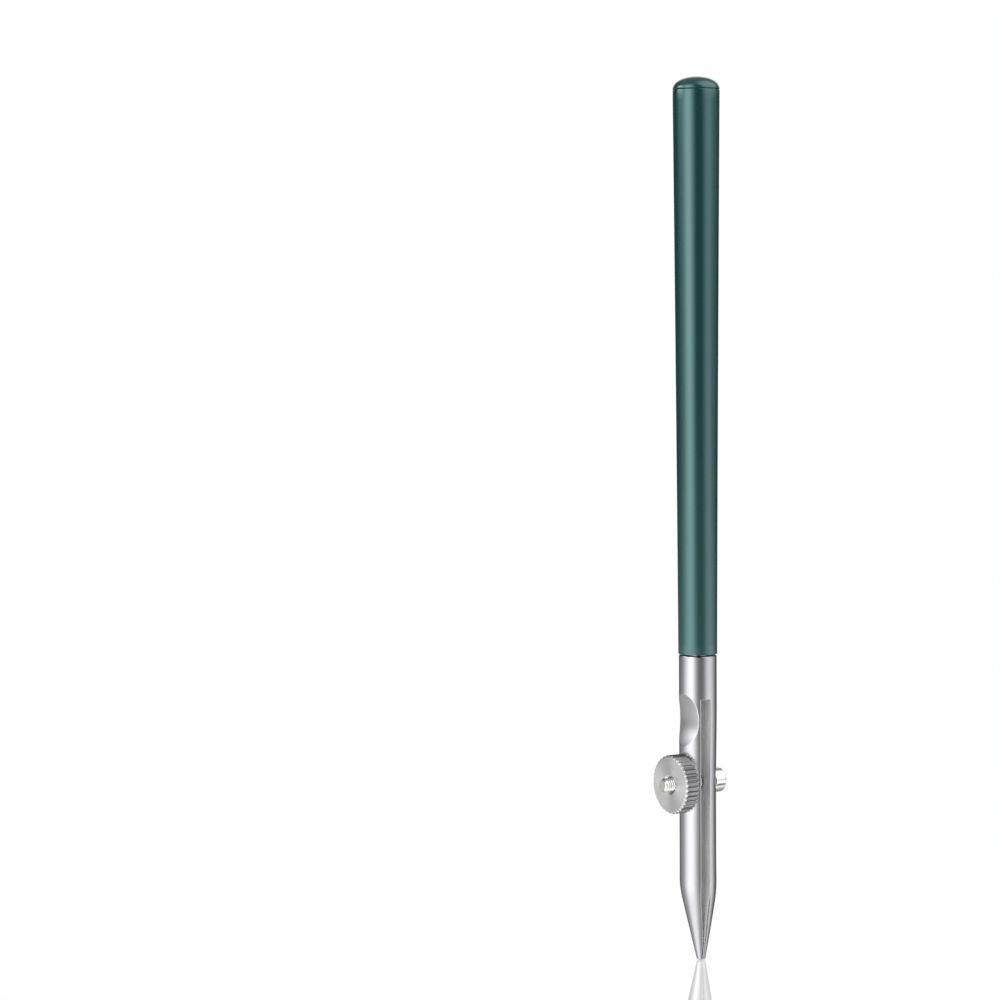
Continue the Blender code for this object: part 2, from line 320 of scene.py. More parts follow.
def scoop_rim_angle(depth):
    """Half the angle that the scoop takes out of the bar at this depth, measured from -X."""
    if abs(depth - FLEX_DEPTH) >= SCOOP_HALF_LENGTH:
        return 0.0
    low, high = 0.0, math.radians(80)
    for _ in range(40):
        middle = (low + high) / 2
        outside = scoop_floor_x(BAR_RADIUS * math.sin(middle), depth) + BAR_RADIUS * math.cos(middle)
        low, high = (middle, high) if outside > 0 else (low, middle)
    return low


def on_bar(angle, depth, shift):
    """A point on the bar's skin: the angle is from +X towards +Y."""
    radius = bar_radius_at(depth)
    return (shift + radius * math.cos(angle), radius * math.sin(angle), -depth)


ARC_STEPS = 16
FLOOR_STEPS = 26
ARRIS_STEPS = 5
WALL_STEPS = 14
GAP_STEPS = 8


def sprung_outer(depth, edge_angle):
    """The sprung jaw's skin from its back arris round by -X to its front one, scoop included."""
    shift = sprung_shift(depth)
    rim = scoop_rim_angle(depth)
    radius = bar_radius_at(depth)
    edge = min(SCOOP_EDGE / radius, 0.3 * rim, 0.4 * max(edge_angle - rim, 0.0))
    back = [on_bar(math.pi - a, depth, shift) for a in spread(edge_angle, rim + edge, ARC_STEPS)]
    front = [(x, -y, z) for x, y, z in reversed(back)]
    rim_y = radius * math.sin(rim)
    inside_y = rim_y - edge * radius
    floor = [(scoop_floor_x(y, depth), y, -depth) for y in spread(inside_y, -inside_y, FLOOR_STEPS)]
    if rim == 0:
        floor = [on_bar(math.pi, depth, shift)] * FLOOR_STEPS
    crest = on_bar(math.pi - rim, depth, shift)
    corner = fillet(back[-1], crest, floor[0], 4)[1:-1]
    other = [(x, -y, z) for x, y, z in reversed(corner)]
    return back + corner + floor + other + front


def jaw_angles(depth):
    """(sprung, rigid) angles of the arrises, from -X and from +X."""
    radius = bar_radius_at(depth)
    sprung = math.acos((sprung_shift(depth) - sprung_wall_x(depth)) / radius)
    rigid = math.acos((rigid_wall_x(depth) - rigid_shift(depth)) / radius)
    return sprung, rigid


def arris_sizes(depth):
    """How wide the two jaws' softened arrises are: they get finer towards the tips."""
    radius = bar_radius_at(depth)
    fine = min(1.0, 0.25 + 0.75 * (radius - 0.6) / 2.4)
    return SPRUNG_ARRIS * fine, RIGID_ARRIS * fine


def front_arris(jaw, depth):
    """(on the skin, corner, on the inner face) of a jaw's front arris."""
    sprung_angle, rigid_angle = jaw_angles(depth)
    sprung_size, rigid_size = arris_sizes(depth)
    radius = bar_radius_at(depth)
    if jaw == "sprung":
        angle, size, shift = math.pi + sprung_angle, sprung_size, sprung_shift(depth)
        skin_point = on_bar(angle - size / radius, depth, shift)
        wall = sprung_wall_x(depth)
    else:
        angle, size, shift = -rigid_angle, rigid_size, rigid_shift(depth)
        skin_point = on_bar(angle + size / radius, depth, shift)
        wall = rigid_wall_x(depth)
    corner = on_bar(angle, depth, shift)
    return skin_point, corner, (wall, corner[1] + size, -depth)


def flip_y(points):
    return [(x, -y, z) for x, y, z in points]


def sprung_section(depth):
    sprung_angle, _ = jaw_angles(depth)
    size, _ = arris_sizes(depth)
    outer = sprung_outer(depth, sprung_angle - size / bar_radius_at(depth))
    front = fillet(*front_arris("sprung", depth), ARRIS_STEPS)
    back = flip_y(reversed(front))
    wall = [(front[-1][0], y, -depth) for y in spread(front[-1][1], back[0][1], WALL_STEPS)]
    return outer + front[1:] + wall[1:-1] + back[:-1]


def rigid_outer(depth, edge_angle):
    shift = rigid_shift(depth)
    return [on_bar(a, depth, shift) for a in spread(-edge_angle, edge_angle, 3 * ARC_STEPS)]


def rigid_section(depth):
    _, rigid_angle = jaw_angles(depth)
    _, size = arris_sizes(depth)
    outer = rigid_outer(depth, rigid_angle - size / bar_radius_at(depth))
    front = fillet(*front_arris("rigid", depth), ARRIS_STEPS)
    back = flip_y(front)
    wall = [(back[-1][0], y, -depth) for y in spread(back[-1][1], front[-1][1], WALL_STEPS)]
    return outer + back[1:] + wall[1:-1] + list(reversed(front))[:-1]


def gap_arc(depth, angles):
    """Points on the bar's front between the two arrises, from the sprung side to the rigid one."""
    return [on_bar(a, depth, 0.0) for a in angles]


def jaw_depths():
    """Stations down the jaws: close together round the scoop's two ends, the taper and the tip."""
    in_scoop = [FLEX_DEPTH - SCOOP_HALF_LENGTH * math.cos(math.pi * i / 40) for i in range(41)]
    below_top = [SLOT_TOP + s for s in (0.2, 0.5)]
    bar = [20.0 + 2.0 * i for i in range(11)]
    taper = [41.2 + 0.4 * i for i in range(13)]
    cone = [46.5 + 0.6 * i for i in range(17)]
    tip = [NIB_LENGTH - TIP_ROUND + TIP_ROUND * math.sin(math.radians(18 * i)) for i in range(6)]
    wanted = [d for d in in_scoop if d > SLOT_TOP + 0.55]
    return below_top + wanted + [17.2, 18.5] + bar + taper + cone + tip


def collar_depths():
    in_scoop = [FLEX_DEPTH - SCOOP_HALF_LENGTH * math.cos(math.pi * i / 40) for i in range(41)]
    top = SLOT_TOP - SLOT_END_ARRIS
    return [SHOULDER_CHAMFER + 0.05, 0.5, 1.0, 3.0, 5.0, 6.4] + [d for d in in_scoop if d < top - 0.05]


def make_nib():
    """The whole nib in one mesh, as it is one piece of steel: tang, collar, slot and both jaws."""
    work = bmesh.new()

    def add(points):
        return [work.verts.new(point) for point in points]

    top = SLOT_TOP - SLOT_END_ARRIS
    sprung_angle, rigid_angle = jaw_angles(SLOT_TOP)
    sprung_size, rigid_size = arris_sizes(SLOT_TOP)
    sprung_edge = sprung_angle - sprung_size / BAR_RADIUS
    rigid_edge = rigid_angle - rigid_size / BAR_RADIUS
    front_angles = spread(math.pi + sprung_edge, 2 * math.pi - rigid_edge, GAP_STEPS + 1)

    def ring(depth, scale=1.0):
        """One closed ring of the collar, in the order back-left, -X, front-left, gap, +X, gap."""
        outer = sprung_outer(depth, sprung_edge)
        gap = gap_arc(depth, front_angles)[1:-1]
        far = rigid_outer(depth, rigid_edge)
        loop = outer + gap + far + flip_y(reversed(gap))
        return [(x * scale, y * scale, z) for x, y, z in loop]

    def raised(points, z):
        return [(x, y, z) for x, y, _ in points]

    full = ring(0.0)
    shares = (TANG_RADIUS - 0.3) / BAR_RADIUS, TANG_RADIUS / BAR_RADIUS
    shoulder = (BAR_RADIUS - SHOULDER_CHAMFER) / BAR_RADIUS
    rings = [
        add(raised(ring(0.0, shares[0]), TANG_LENGTH)),
        add(raised(ring(0.0, shares[1]), TANG_LENGTH - 0.3)),
        add(raised(ring(0.0, shares[1]), 0.0)),
        add(raised(ring(0.0, shoulder), 0.0)),
        add(raised(ring(0.0, 1 - 0.25 * (1 - shoulder)), -0.35 * SHOULDER_CHAMFER)),
        add(raised(full, -SHOULDER_CHAMFER)),
    ]
    rings += [add(ring(depth)) for depth in collar_depths()]
    rings.append(add(ring(top)))
    skin(work, rings)
    work.faces.new(rings[0])
    last = rings[-1]

    n_sprung = len(sprung_outer(top, sprung_edge))
    n_far = 3 * ARC_STEPS
    n_gap = GAP_STEPS - 1
    sprung_top = last[:n_sprung]
    front_gap = [last[n_sprung - 1]] + last[n_sprung : n_sprung + n_gap] + [last[n_sprung + n_gap]]
    rigid_top = last[n_sprung + n_gap : n_sprung + n_gap + n_far]
    back_gap = [last[0]] + list(reversed(last[n_sprung + n_gap + n_far :])) + [rigid_top[-1]]

    # The softened end of the slot: a curved strip from the skin to the slot's end face, front and back.
    corner_angles = spread(math.pi + sprung_angle, 2 * math.pi - rigid_angle, GAP_STEPS + 1)
    corners = gap_arc(SLOT_TOP, corner_angles)
    inner_left = front_arris("sprung", SLOT_TOP)[2]
    inner_right = front_arris("rigid", SLOT_TOP)[2]
    inner = [tuple(Vector(inner_left).lerp(Vector(inner_right), i / GAP_STEPS)) for i in range(GAP_STEPS + 1)]
    columns = [fillet(tuple(v.co), c, p, ARRIS_STEPS) for v, c, p in zip(front_gap, corners, inner)]

    def strip(start_row, sign):
        rows = [start_row]
        for k in range(1, ARRIS_STEPS + 1):
            rows.append(add([(x, sign * y, z) for x, y, z in (column[k] for column in columns)]))
        skin(work, rows, closed=False)
        return rows

    front_rows = strip(front_gap, 1)
    back_rows = strip(back_gap, -1)

    # The slot's end face, between the two inner faces.
    wall_rows = [front_rows[-1]]
    for i in range(1, WALL_STEPS - 1):
        share = i / (WALL_STEPS - 1)
        points = [Vector(a.co).lerp(Vector(b.co), share) for a, b in zip(front_rows[-1], back_rows[-1])]
        wall_rows.append(add(points))
    wall_rows.append(back_rows[-1])
    skin(work, wall_rows, closed=False)

    # Each jaw hangs from a loop of the collar's own vertices, the strips' ends and the end face's sides.
    front_left = [row[0] for row in front_rows[1:]]
    back_left = [row[0] for row in back_rows[1:]]
    sprung_loop = sprung_top + front_left + [row[0] for row in wall_rows[1:-1]] + list(reversed(back_left))
    front_right = [row[-1] for row in front_rows[1:]]
    back_right = [row[-1] for row in back_rows[1:]]
    right_side = [row[-1] for row in reversed(wall_rows[1:-1])]
    rigid_loop = rigid_top + back_right + right_side + list(reversed(front_right))

    for loop, section in ((sprung_loop, sprung_section), (rigid_loop, rigid_section)):
        rows = [loop] + [add(section(depth)) for depth in jaw_depths()]
        skin(work, rows)
        work.faces.new(rows[-1])
    bmesh.ops.remove_doubles(work, verts=work.verts, dist=1e-5)
    bmesh.ops.dissolve_degenerate(work, edges=work.edges, dist=1e-5)
    return work


def in_slot(middle):
    """True for the middle of a face of the slot: its end, or the inner face of a jaw."""
    depth = -middle.z
    if depth < SLOT_TOP - 0.02 or depth > NIB_LENGTH - 0.01:
        return False
    if not sprung_wall_x(depth) - 0.02 < middle.x < rigid_wall_x(depth) + 0.02:
        return False
    return math.hypot(middle.x, middle.y) < bar_radius_at(depth) - 0.5 * SPRUNG_ARRIS


def in_scoop(middle):
    """True for the middle of a face of the scoop's floor."""
    depth = -middle.z
    if abs(depth - FLEX_DEPTH) > SCOOP_HALF_LENGTH or middle.x > sprung_wall_x(depth) - 0.2:
        return False
    return math.hypot(middle.x - sprung_shift(depth), middle.y) < BAR_RADIUS - 0.03


def round_cutter(name, radius, start, end):
    """A plain rod along the screw's axis, used once to cut the nib and then removed."""
    work = bmesh.new()
    bmesh.ops.create_cone(work, cap_ends=True, segments=72, radius1=radius, radius2=radius, depth=end - start)
    bmesh.ops.translate(work, vec=(0, 0, (start + end) / 2), verts=work.verts)
    mesh = bpy.data.meshes.new(name)
    along_x(work).to_mesh(mesh)
    work.free()
    mesh.transform(Matrix.Scale(MM, 4))
    cutter = bpy.data.objects.new(name, mesh)
    bpy.context.scene.collection.objects.link(cutter)
    return cutter


def cut(piece, cutter):
    """Takes the cutter out of the piece, for good."""
    change = piece.modifiers.new("cut", "BOOLEAN")
    change.object = cutter
    change.solver = "EXACT"
    graph = bpy.context.evaluated_depsgraph_get()
    mesh = bpy.data.meshes.new_from_object(piece.evaluated_get(graph))
    piece.modifiers.clear()
    piece.data = mesh
    bpy.data.objects.remove(cutter)


def build_nib(*materials):
    piece = new_piece("nib", make_nib(), None, "nib_steel", "nib_body", "spring_jaw")
    outside = BAR_RADIUS + 1.0
    cut(piece, round_cutter("screw_hole", NUT_BORE, -outside, outside))
    cut(piece, round_cutter("spot_face", SPOT_FACE_RADIUS, SPOT_FACE_X, outside))
    dress(piece, *materials)
    for face in piece.data.polygons:
        middle = face.center / MM
        face.material_index = 1 if in_slot(middle) else 2 if in_scoop(middle) else 0
    sharpen(piece, 40)
    return piece


def bend_nib(piece):
    """Bends the nib at its flexure, and keeps the collar, the rigid jaw and the slot's end still."""
    above = (0.0, 0.0, -(FLEX_DEPTH - FLEX_SPREAD) * MM)
    below = (0.0, 0.0, -(FLEX_DEPTH + FLEX_SPREAD) * MM)
    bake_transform(piece, "pen", "spring_jaw", start=above, end=below)
    weights = piece.data.attributes["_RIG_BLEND"].data
    for vertex, weight in zip(piece.data.vertices, weights):
        depth = -vertex.co.z / MM
        middle_of_slot = (sprung_wall_x(depth) + rigid_wall_x(depth)) / 2
        if vertex.co.x / MM > middle_of_slot:
            weight.value = 0.0


# ---------------------------------------------------------------- screw, nut and handle


def along_x(work, x_sign=1):
    """Lays a bmesh that was turned about Z along the screw's axis."""
    turn = Matrix.Rotation(math.radians(90), 4, "Y")
    if x_sign < 0:
        turn = Matrix.Rotation(math.radians(-90), 4, "Y")
    bmesh.ops.transform(work, matrix=Matrix.Translation((0, 0, -SCREW_DEPTH)) @ turn, verts=work.verts)
    return work


def thread_depth_at(x, turn):
    """How far the thread's surface lies below its outer diameter."""
    phase = (x / THREAD_PITCH - turn / (2 * math.pi)) % 1.0
    ramp = abs(2 * phase - 1)
    return THREAD_DEPTH * min(max((ramp - 0.12) / 0.7, 0.0), 1.0)


def build_screw():
    """Domed cross screw with a real helical thread from the slot to its chamfered end."""
    crest = HEAD_SEAT_X + HEAD_RIM + HEAD_DOME
    dome_radius = (HEAD_RADIUS**2 + HEAD_DOME**2) / (2 * HEAD_DOME)
    dome_angle = math.asin(HEAD_RADIUS / dome_radius)
    dome = []
    for i in range(15):
        a = dome_angle * i / 14
        dome.append((dome_radius * math.sin(a), crest - dome_radius * (1 - math.cos(a))))
    dome[-1:] = fillet(
        (dome[-1][0] - HEAD_EDGE, dome[-1][1] + HEAD_EDGE * math.tan(dome_angle)),
        dome[-1],
        (HEAD_RADIUS, HEAD_SEAT_X + HEAD_RIM - HEAD_EDGE),
        4,
    )
    foot = [(HEAD_RADIUS, HEAD_SEAT_X + 0.3), (HEAD_RADIUS, HEAD_SEAT_X), (HEAD_RADIUS - 0.3, HEAD_SEAT_X)]
    rim = soften(foot, {1: 0.1}, 3)
    plain = [(SCREW_RADIUS, HEAD_SEAT_X), (SCREW_RADIUS, THREAD_START_X + 0.4)]
    count = round((THREAD_START_X - SCREW_END_X) / (THREAD_PITCH / 10))
    threaded = [(SCREW_RADIUS, x) for x in spread(THREAD_START_X, SCREW_END_X, count)]
    profile = dome + rim + plain + threaded + [(0, SCREW_END_X)]

    def radius_at(radius, x, turn):
        if x > THREAD_START_X:
            return radius
        if radius != SCREW_RADIUS:
            return radius
        run_out = smoothstep((THREAD_START_X - x) / 0.6)
        cut = SCREW_RADIUS - thread_depth_at(x, turn) * run_out
        point = SCREW_RADIUS - 0.34 + 1.0 * (x - SCREW_END_X)
        return min(cut, point)

    work = along_x(lathe(profile, 48, radius_at))
    piece = new_piece("clamp_screw_threaded", work, "pen", "screw_plate", "clamp_screw")
    sharpen(piece, 40)
    return piece


def knurl_cut(turn):
    """How far the knurl cuts in at this angle: V grooves with narrow flat crests."""
    phase = (turn * KNURL_TEETH / (2 * math.pi)) % 1.0
    ramp = abs(2 * phase - 1)
    return KNURL_DEPTH * min(max((ramp - 0.08) / 0.86, 0.0), 1.0)


def build_nut():
    """Knurled thumb nut with a turned outer face, a countersunk bore and a recessed inner face."""
    half = NUT_THICKNESS / 2
    face_radius = NUT_RADIUS - NUT_FACE_EDGE
    profile = [
        (NUT_BORE, half - NUT_COUNTERSINK),
        (NUT_BORE + NUT_COUNTERSINK - 0.06, half - 0.06),
        (NUT_BORE + NUT_COUNTERSINK + 0.03, half),
    ]
    profile += [(radius, half) for radius in spread(NUT_BORE + 1.0, face_radius - 0.05, 10)]
    profile += [(face_radius + 0.05, half - 0.03)]
    profile += [(NUT_RADIUS, half - 0.8 * NUT_FACE_EDGE)]
    profile += [(NUT_RADIUS, z) for z in spread(half - 1.1 * NUT_FACE_EDGE, -half + 1.2 * NUT_BACK_EDGE, 6)]
    profile += [(NUT_RADIUS, -half + NUT_BACK_EDGE), (NUT_RADIUS - NUT_BACK_EDGE, -half)]
    profile += [(NUT_RECESS_RADIUS + 0.08, -half), (NUT_RECESS_RADIUS, -half + 0.08)]
    profile += [(NUT_RECESS_RADIUS, -half + NUT_RECESS_DEPTH), (NUT_BORE, -half + NUT_RECESS_DEPTH)]
    profile.append(profile[0])

    def radius_at(radius, z, turn):
        share = (radius - (NUT_RADIUS - KNURL_DEPTH - 0.04)) / KNURL_DEPTH
        return radius - knurl_cut(turn) * min(max(share, 0.0), 1.0)

    work = lathe(profile, KNURL_TEETH * 10, radius_at)
    bmesh.ops.remove_doubles(work, verts=work.verts, dist=1e-5)
    along_x(work, -1)
    bmesh.ops.translate(work, vec=(NUT_SEAT_X - half, 0, 0), verts=work.verts)
    edge_x = NUT_SEAT_X - NUT_THICKNESS + 0.8 * NUT_FACE_EDGE
    # The knurled rim's faces take the second material, a darkened steel that paints the rim's shade.
    for found in work.faces:
        middle = found.calc_center_median()
        if middle.x > edge_x and math.hypot(middle.y, middle.z + SCREW_DEPTH) > face_radius:
            found.material_index = 1
    piece = new_piece("thumb_nut_knurled", work, "thumb_nut", "nut_steel", "thumb_nut")
    sharpen(piece, 24)
    return piece


def handle_radius_at(height):
    share = max(height, 0.0) / (HANDLE_LENGTH - DOME_HEIGHT)
    return HANDLE_BOTTOM_RADIUS + (HANDLE_TOP_RADIUS - HANDLE_BOTTOM_RADIUS) * share**HANDLE_TAPER_POWER


def build_barrel():
    top = HANDLE_LENGTH - DOME_HEIGHT - CAP_SEAM
    heights = spread(top - 0.12, SHOULDER_GAP + 0.07, 56)
    outer = [(handle_radius_at(h), h) for h in heights]
    crown = fillet((handle_radius_at(top) - 0.1, top), (handle_radius_at(top), top), outer[0], 4)[:-1]
    low = handle_radius_at(0)
    foot = fillet(outer[-1], (low, SHOULDER_GAP), (low - 0.07, SHOULDER_GAP), 4)[1:]
    profile = [(HANDLE_BORE_RADIUS, top)] + crown + outer + foot + [(HANDLE_BORE_RADIUS, SHOULDER_GAP)]
    profile.append(profile[0])
    work = lathe(profile, 128)
    bmesh.ops.remove_doubles(work, verts=work.verts, dist=1e-5)
    piece = new_piece("handle_painted", work, "pen", "handle_paint", "handle_barrel")
    sharpen(piece, 45)
    return piece


def cap_point(base, turn):
    """Point of the end cap's dome, as (radius, Z), at this angle from the pen's axis."""
    rise = DOME_HEIGHT * math.cos(turn) ** DOME_FULLNESS
    return (HANDLE_TOP_RADIUS * math.sin(turn), base + rise)


def build_cap():
    base = HANDLE_LENGTH - DOME_HEIGHT
    turns = [math.radians(87) * i / 40 for i in range(41)]
    dome = [cap_point(base, turn) for turn in turns]
    rim = fillet(dome[-1], (HANDLE_TOP_RADIUS, base), (HANDLE_TOP_RADIUS - 0.1, base), 4)
    spigot = HANDLE_BORE_RADIUS - 0.1
    profile = dome[:-1] + rim
    profile += [(spigot, base), (spigot, base - SPIGOT_LENGTH + 0.3)]
    profile += [(spigot - 0.3, base - SPIGOT_LENGTH), (0, base - SPIGOT_LENGTH)]
    piece = new_piece("end_cap_domed", lathe(profile, 128), "pen", "handle_paint", "end_cap")
    sharpen(piece, 45)
    return piece


# ---------------------------------------------------------------- materials


def shader_of(material):
    material.use_nodes = True
    return material.node_tree.nodes["Principled BSDF"]


def add_node(material, kind, **settings):
    node = material.node_tree.nodes.new(kind)
    for name, value in settings.items():
        if name in node.inputs:
            node.inputs[name].default_value = value
        else:
            setattr(node, name, value)
    return node


def link(material, source, target):
    material.node_tree.links.new(source, target)


def stretched_noise(material, per_mm, detail=3.0, roughness=0.5):
    """Noise with a feature count per millimetre along X, Y and Z."""
    place = add_node(material, "ShaderNodeTexCoord")
    scale = add_node(material, "ShaderNodeMapping")
    scale.inputs["Scale"].default_value = [count / MM for count in per_mm]
    noise = add_node(material, "ShaderNodeTexNoise", Scale=1.0, Detail=detail, Roughness=roughness)
    link(material, place.outputs["Object"], scale.inputs["Vector"])
    link(material, scale.outputs["Vector"], noise.inputs["Vector"])
    return noise


def ranged(material, value, low, high):
    """Maps a 0..1 value to low..high."""
    node = add_node(material, "ShaderNodeMapRange")
    node.inputs["To Min"].default_value = low
    node.inputs["To Max"].default_value = high
    link(material, value, node.inputs["Value"])
    return node.outputs["Result"]


def tinted(material, value, dark, light):
    """Mixes two colours by a 0..1 value."""
    node = add_node(material, "ShaderNodeMix", data_type="RGBA")
    node.inputs[6].default_value = (*dark, 1)
    node.inputs[7].default_value = (*light, 1)
    link(material, value, node.inputs[0])
    return node.outputs[2]


def bumped(material, height, strength, distance_mm):
    node = add_node(material, "ShaderNodeBump", Strength=strength, Distance=distance_mm * MM)
    link(material, height, node.inputs["Height"])
    link(material, node.outputs["Normal"], shader_of(material).inputs["Normal"])
    return node


def handle_paint():
    """Satin dark green paint: faint clouding, a fine orange peel and uneven gloss."""
    made = bpy.data.materials.new("handle_paint")
    shader = shader_of(made)
    clouds = stretched_noise(made, (0.25, 0.25, 0.06))
    colour = tinted(made, clouds.outputs["Fac"], (0.003, 0.043, 0.040), (0.005, 0.052, 0.048))
    link(made, colour, shader.inputs["Base Color"])
    peel = stretched_noise(made, (1.3, 1.3, 0.9), detail=2.0)
    bumped(made, peel.outputs["Fac"], 0.35, 0.004)
    link(made, ranged(made, clouds.outputs["Fac"], 0.17, 0.22), shader.inputs["Roughness"])
    shader.inputs["IOR"].default_value = 1.8
    shader.inputs["Specular IOR Level"].default_value = 0.8
    shader.inputs["Specular Tint"].default_value = (0.62, 1.0, 1.0, 1.0)
    return made


def steel(name, dark, light, roughness, grain, bump, anisotropy=0.0):
    """Bare metal with a directional grain. grain is its feature count per millimetre along X, Y and Z."""
    made = bpy.data.materials.new(name)
    shader = shader_of(made)
    lines = stretched_noise(made, grain, detail=4.0)
    stain = stretched_noise(made, (0.3, 0.3, 0.12), detail=2.0)
    link(made, tinted(made, stain.outputs["Fac"], dark, light), shader.inputs["Base Color"])
    link(made, ranged(made, lines.outputs["Fac"], roughness[0], roughness[1]), shader.inputs["Roughness"])
    bumped(made, lines.outputs["Fac"], 0.5, bump)
    shader.inputs["Metallic"].default_value = 1.0
    if anisotropy:
        shader.inputs["Anisotropic"].default_value = anisotropy
    return made


def turned_nut_face():
    """Facing cuts: fine rings round the screw's axis, stretched highlights and a soft grey tone."""
    made = bpy.data.materials.new("nut_face")
    shader = shader_of(made)
    place = add_node(made, "ShaderNodeTexCoord")
    centre = add_node(made, "ShaderNodeVectorMath", operation="SUBTRACT")
    centre.inputs[1].default_value = (0, 0, -SCREW_DEPTH * MM)
    flat = add_node(made, "ShaderNodeVectorMath", operation="MULTIPLY")
    flat.inputs[1].default_value = (0, 1, 1)
    length = add_node(made, "ShaderNodeVectorMath", operation="LENGTH")
    link(made, place.outputs["Object"], centre.inputs[0])
    link(made, centre.outputs["Vector"], flat.inputs[0])
    link(made, flat.outputs["Vector"], length.inputs[0])
    rings = add_node(made, "ShaderNodeTexNoise", noise_dimensions="1D", Scale=5.0 / MM, Detail=3.0)
    link(made, length.outputs["Value"], rings.inputs["W"])
    colour = tinted(made, rings.outputs["Fac"], (0.70, 0.70, 0.70), (0.92, 0.92, 0.92))
    link(made, colour, shader.inputs["Base Color"])
    link(made, ranged(made, rings.outputs["Fac"], 0.28, 0.40), shader.inputs["Roughness"])
    bumped(made, rings.outputs["Fac"], 0.6, 0.004)
    tangent = add_node(made, "ShaderNodeTangent", direction_type="RADIAL", axis="X")
    link(made, tangent.outputs["Tangent"], shader.inputs["Tangent"])
    shader.inputs["Metallic"].default_value = 1.0
    shader.inputs["Anisotropic"].default_value = 0.7
    shader.inputs["Anisotropic Rotation"].default_value = 0.25
    return made


def dress(piece, *materials):
    for material in materials:
        piece.data.materials.append(material)


# ---------------------------------------------------------------- stage

# Soft boxes round the pen, each as degrees to the right of the camera's side: where it starts,
# where it is full, where it starts to fade, where it ends, and its level.
UPPER_BASE = 0.04
UPPER_BOXES = (
    (-81, -39, -39, 1, 2.05),
    (-117, -67, -67, -17, 0.42),
    (21, 63, 63, 113, 0.93),
    (82, 112, 112, 142, 0.20),
)
# The same below the handle, where the white table widens the boxes and fills the front.
LOWER_BASE = 0.14
LOWER_BOXES = (
    (-108, -60, -42, 10, 1.35),
    (-165, -95, -44, 30, 0.45),
    (-30, 10, 40, 110, 0.18),
    (27, 79, 81, 142, 1.24),
)
UPPER_ENDS = -4.5
LOWER_STARTS = -6.8
TABLE_LEVEL = 0.75
TABLE_SHARE = 0.35
CEILING_LEVEL = 0.32
BACKDROP_LEVEL = 1.0

FLOOR_RADIUS = 200.0
FLOOR_DROP = 0.14
FLOOR_ROUGHNESS = 0.02
FLOOR_SHINE = 0.42

# Large soft lamps: degrees right of the camera's side, degrees up, degrees from full to none, level.
LAMPS = (
    (-88, 12, 8, 23, 3.4),
    (78, 38, 20, 56, 1.4),
)
# A dark card low on the right, given in the same way.
CARD = (82, -33, 6, 12, 0.15)


def world_node(kind, **settings):
    """A node in the world's tree. Inputs are given by name, other settings as attributes."""
    node = bpy.context.scene.world.node_tree.nodes.new(kind)
    for name, value in settings.items():
        if name in node.inputs:
            node.inputs[name].default_value = value
        else:
            setattr(node, name, value)
    return node


def world_link(source, target):
    bpy.context.scene.world.node_tree.links.new(source, target)


def world_math(operation, first, second):
    """A math node's result. Either input may be a socket or a number."""
    node = world_node("ShaderNodeMath", operation=operation)
    for socket, value in zip(node.inputs, (first, second)):
        if isinstance(value, (int, float)):
            socket.default_value = value
        else:
            world_link(value, socket)
    return node.outputs["Value"]


def fade(value, low, high):
    """0 below low, 1 above high, smooth between. Low may be the larger, which turns it round."""
    node = world_node("ShaderNodeMapRange", interpolation_type="SMOOTHSTEP")
    node.inputs["From Min"].default_value = low
    node.inputs["From Max"].default_value = high
    world_link(value, node.inputs["Value"])
    return node.outputs["Result"]


def boxes_light(degrees, base, boxes):
    """Brightness by direction: the soft boxes added to an even base."""
    light = base
    for start, full, fading, end, level in boxes:
        share = world_math("MULTIPLY", fade(degrees, start, full), fade(degrees, end, fading))
        light = world_math("ADD", light, world_math("MULTIPLY", share, level))
    return light


def sine(degrees):
    return math.sin(math.radians(degrees))


def blended(share, first, second):
    node = world_node("ShaderNodeMix")
    world_link(share, node.inputs[0])
    for socket, value in zip(node.inputs[2:4], (first, second)):
        if isinstance(value, (int, float)):
            socket.default_value = value
        else:
            world_link(value, socket)
    return node.outputs[0]


def lamp_share(direction, side, height, full, none):
    """How much of a round lamp lies in this direction: 1 within full degrees of it, 0 beyond none."""
    node = world_node("ShaderNodeVectorMath", operation="DOT_PRODUCT")
    level = math.cos(math.radians(height))
    node.inputs[1].default_value = (sine(side) * level, -sine(90 - side) * level, sine(height))
    world_link(direction, node.inputs[0])
    return fade(node.outputs["Value"], sine(90 - none), sine(90 - full))


